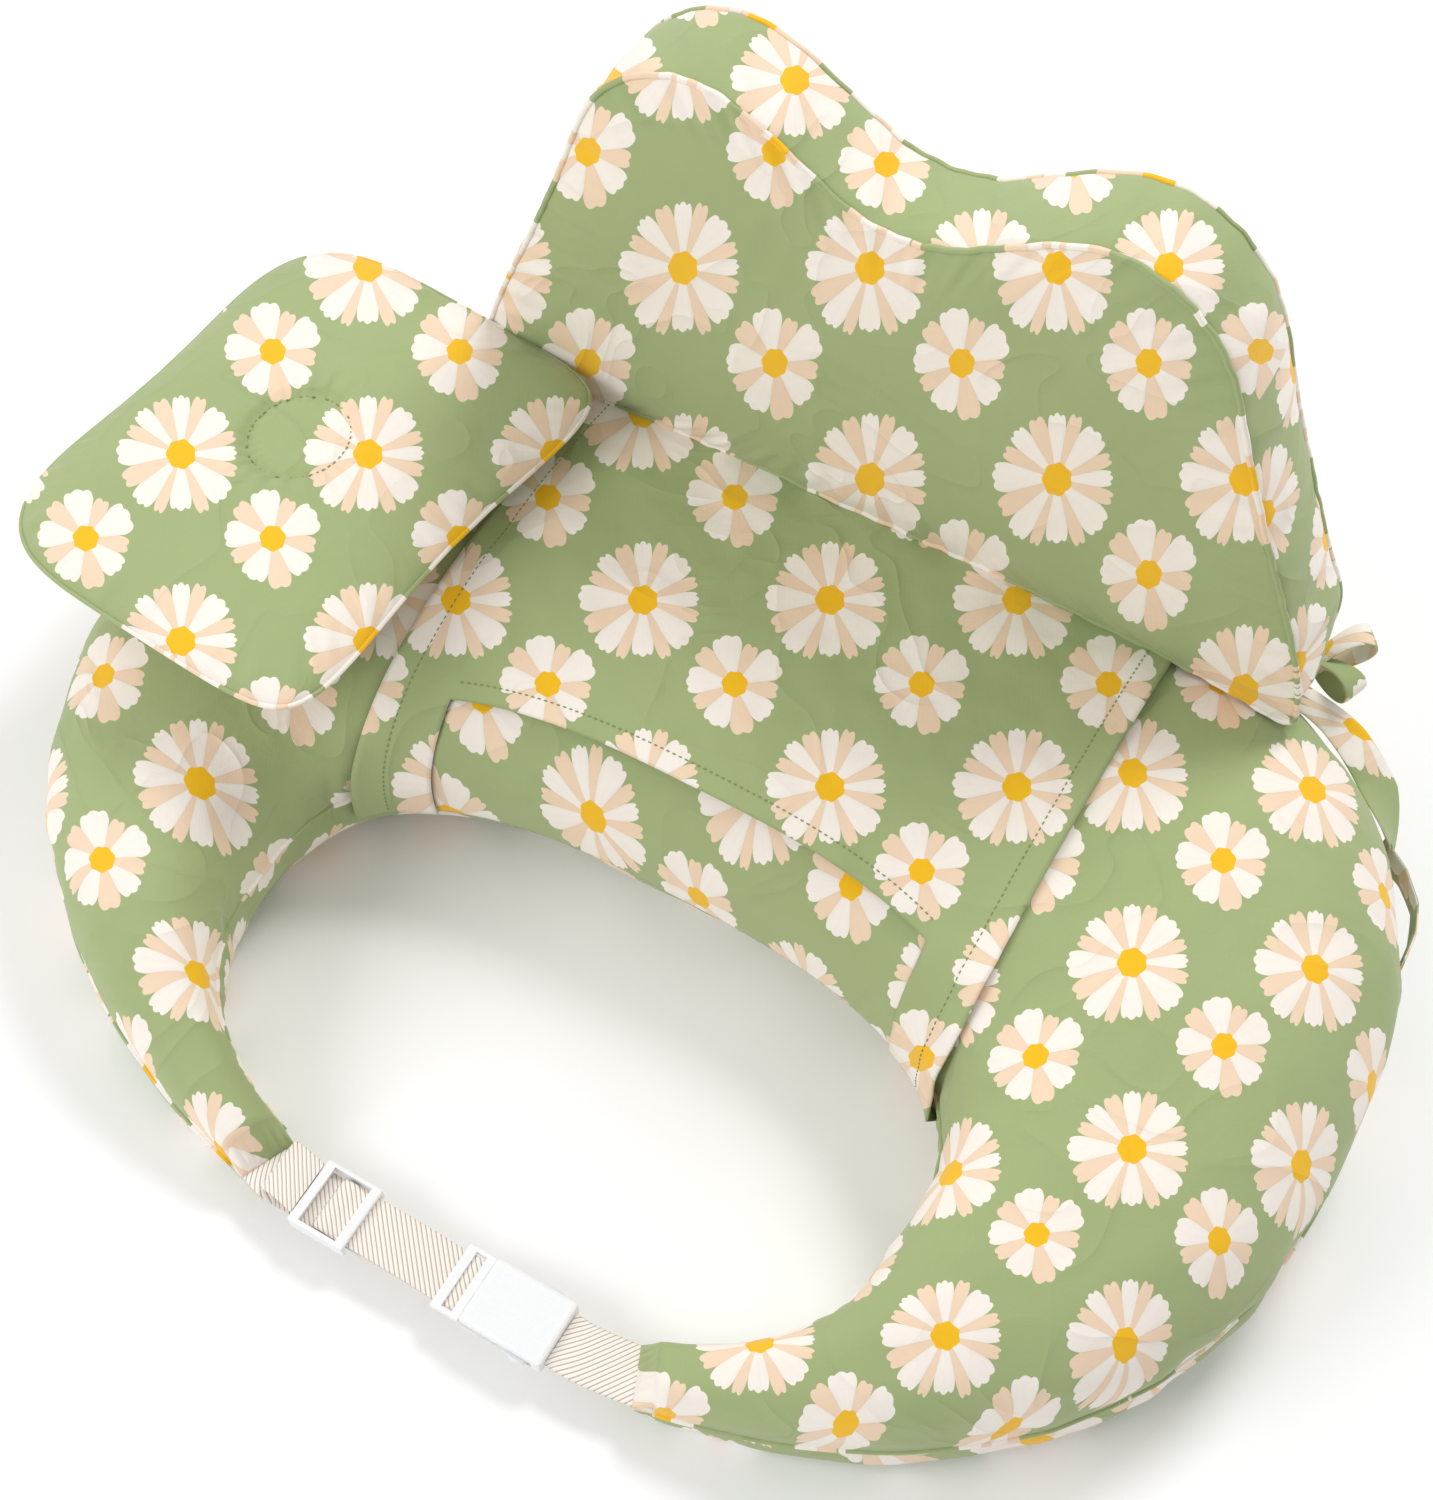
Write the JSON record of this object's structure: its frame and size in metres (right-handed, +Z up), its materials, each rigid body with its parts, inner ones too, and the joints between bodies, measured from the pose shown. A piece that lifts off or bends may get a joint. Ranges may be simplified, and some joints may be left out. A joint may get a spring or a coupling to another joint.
{
  "type": "nursing pillow",
  "caption": "Wearable U-shaped nursing pillow with a lap panel and pocket, a cloud-topped standing fence, a lift-off head pillow, tie bands and a buckled waist belt",
  "frame": {"origin": "a point on the flat underside of the cushion, on the plane of left-right symmetry, below the middle of the lap platform", "axes": "+X to the wearer's right and the longest extent, +Y away from the wearer from the waist hole towards the fence, +Z up"},
  "size_m": [0.6246, 0.4577, 0.348],
  "materials": {
    "print_cotton": "matt printed cotton, sage green with white and peach daisies",
    "polyester_fibre": "white polyester fibre filling",
    "hook_and_loop": "hook-and-loop tape, off-white",
    "zip_tape": "woven green zip tape",
    "zip_coil": "green nylon coil and painted slider",
    "webbing": "cream twill webbing with fine diagonal lines",
    "white_acetal": "moulded white acetal"
  },
  "bodies": {
    "cushion": {"base_top_cover": "print_cotton", "base_bottom_cover": "print_cotton", "base_filling": "polyester_fibre", "base_loop_strip": "hook_and_loop", "base_loop_patch": "hook_and_loop", "base_zip_tape": "zip_tape", "base_zip_teeth": "zip_coil", "lap_panel": "print_cotton", "pocket_lining": "print_cotton", "left_tie_band": "print_cotton", "left_tie_loop": "print_cotton", "right_tie_band": "print_cotton", "right_tie_loop": "print_cotton", "left_belt_anchor": "webbing", "right_belt_anchor": "webbing", "left_belt_webbing": "webbing", "right_belt_webbing": "webbing", "buckle_socket": "white_acetal"},
    "fence": {"fence_front_panel": "print_cotton", "fence_back_panel": "print_cotton", "fence_gusset": "print_cotton", "fence_foot_panel": "print_cotton", "fence_filling": "polyester_fibre", "fence_hook_strip": "hook_and_loop", "fence_zip_tape": "zip_tape", "fence_zip_teeth": "zip_coil", "left_tie_bow_front": "print_cotton", "left_tie_bow_back": "print_cotton", "right_tie_bow_front": "print_cotton", "right_tie_bow_back": "print_cotton"},
    "head_pillow": {"head_pillow_top": "print_cotton", "head_pillow_bottom": "print_cotton", "head_pillow_filling": "polyester_fibre", "head_pillow_hook_patch": "hook_and_loop"},
    "buckle_plug": {"buckle_plug": "white_acetal", "plug_strap": "webbing"},
    "prong_near": {"buckle_prong_near": "white_acetal"},
    "prong_far": {"buckle_prong_far": "white_acetal"},
    "adjuster": {"strap_adjuster": "white_acetal", "strap_tail": "webbing"},
    "base_zip_slider": {"base_zip_slider": "zip_coil"},
    "base_zip_pull": {"base_zip_pull": "zip_coil"},
    "fence_zip_slider": {"fence_zip_slider": "zip_coil"},
    "fence_zip_pull": {"fence_zip_pull": "zip_coil"}
  },
  "joints": [
    {"name": "fence_tilt", "type": "hinge", "parent": "cushion", "child": "fence", "pos_m": [0, 0.089, 0.12118], "axis": [-1, 0, 0], "range_deg": [0, 12]},
    {"name": "head_pillow_lift", "type": "slide", "parent": "cushion", "child": "head_pillow", "axis": [0, 0, 1], "range_m": [0, 0.15]},
    {"name": "plug_release", "type": "slide", "parent": "cushion", "child": "buckle_plug", "axis": [-1, 0, 0], "range_m": [0, 0.036]},
    {"name": "prong_near_press", "type": "hinge", "parent": "buckle_plug", "child": "prong_near", "pos_m": [0.0173, -0.3262, 0.018], "axis": [0, 0, 1], "range_deg": [0, 8], "stiffness_Nm_per_rad": 0.05},
    {"name": "prong_far_press", "type": "hinge", "parent": "buckle_plug", "child": "prong_far", "pos_m": [0.0173, -0.3038, 0.018], "axis": [0, 0, -1], "range_deg": [0, 8], "stiffness_Nm_per_rad": 0.05},
    {"name": "adjuster_slide", "type": "slide", "parent": "cushion", "child": "adjuster", "axis": [1, 0, 0], "range_m": [-0.005, 0.003]},
    {"name": "base_zip_slide", "type": "slide", "parent": "cushion", "child": "base_zip_slider", "axis": [1, 0, 0], "range_m": [0, 0.222]},
    {"name": "base_zip_pull_swing", "type": "hinge", "parent": "base_zip_slider", "child": "base_zip_pull", "pos_m": [-0.1147, 0.05, 0.002], "axis": [0, 1, 0], "range_deg": [0, 60]},
    {"name": "fence_zip_slide", "type": "slide", "parent": "fence", "child": "fence_zip_slider", "axis": [1, 0, 0], "range_m": [0, 0.228]},
    {"name": "fence_zip_pull_swing", "type": "hinge", "parent": "fence_zip_slider", "child": "fence_zip_pull", "pos_m": [-0.1145, 0.0942, 0.172], "axis": [1, 0, 0], "range_deg": [0, 110]}
  ]
}
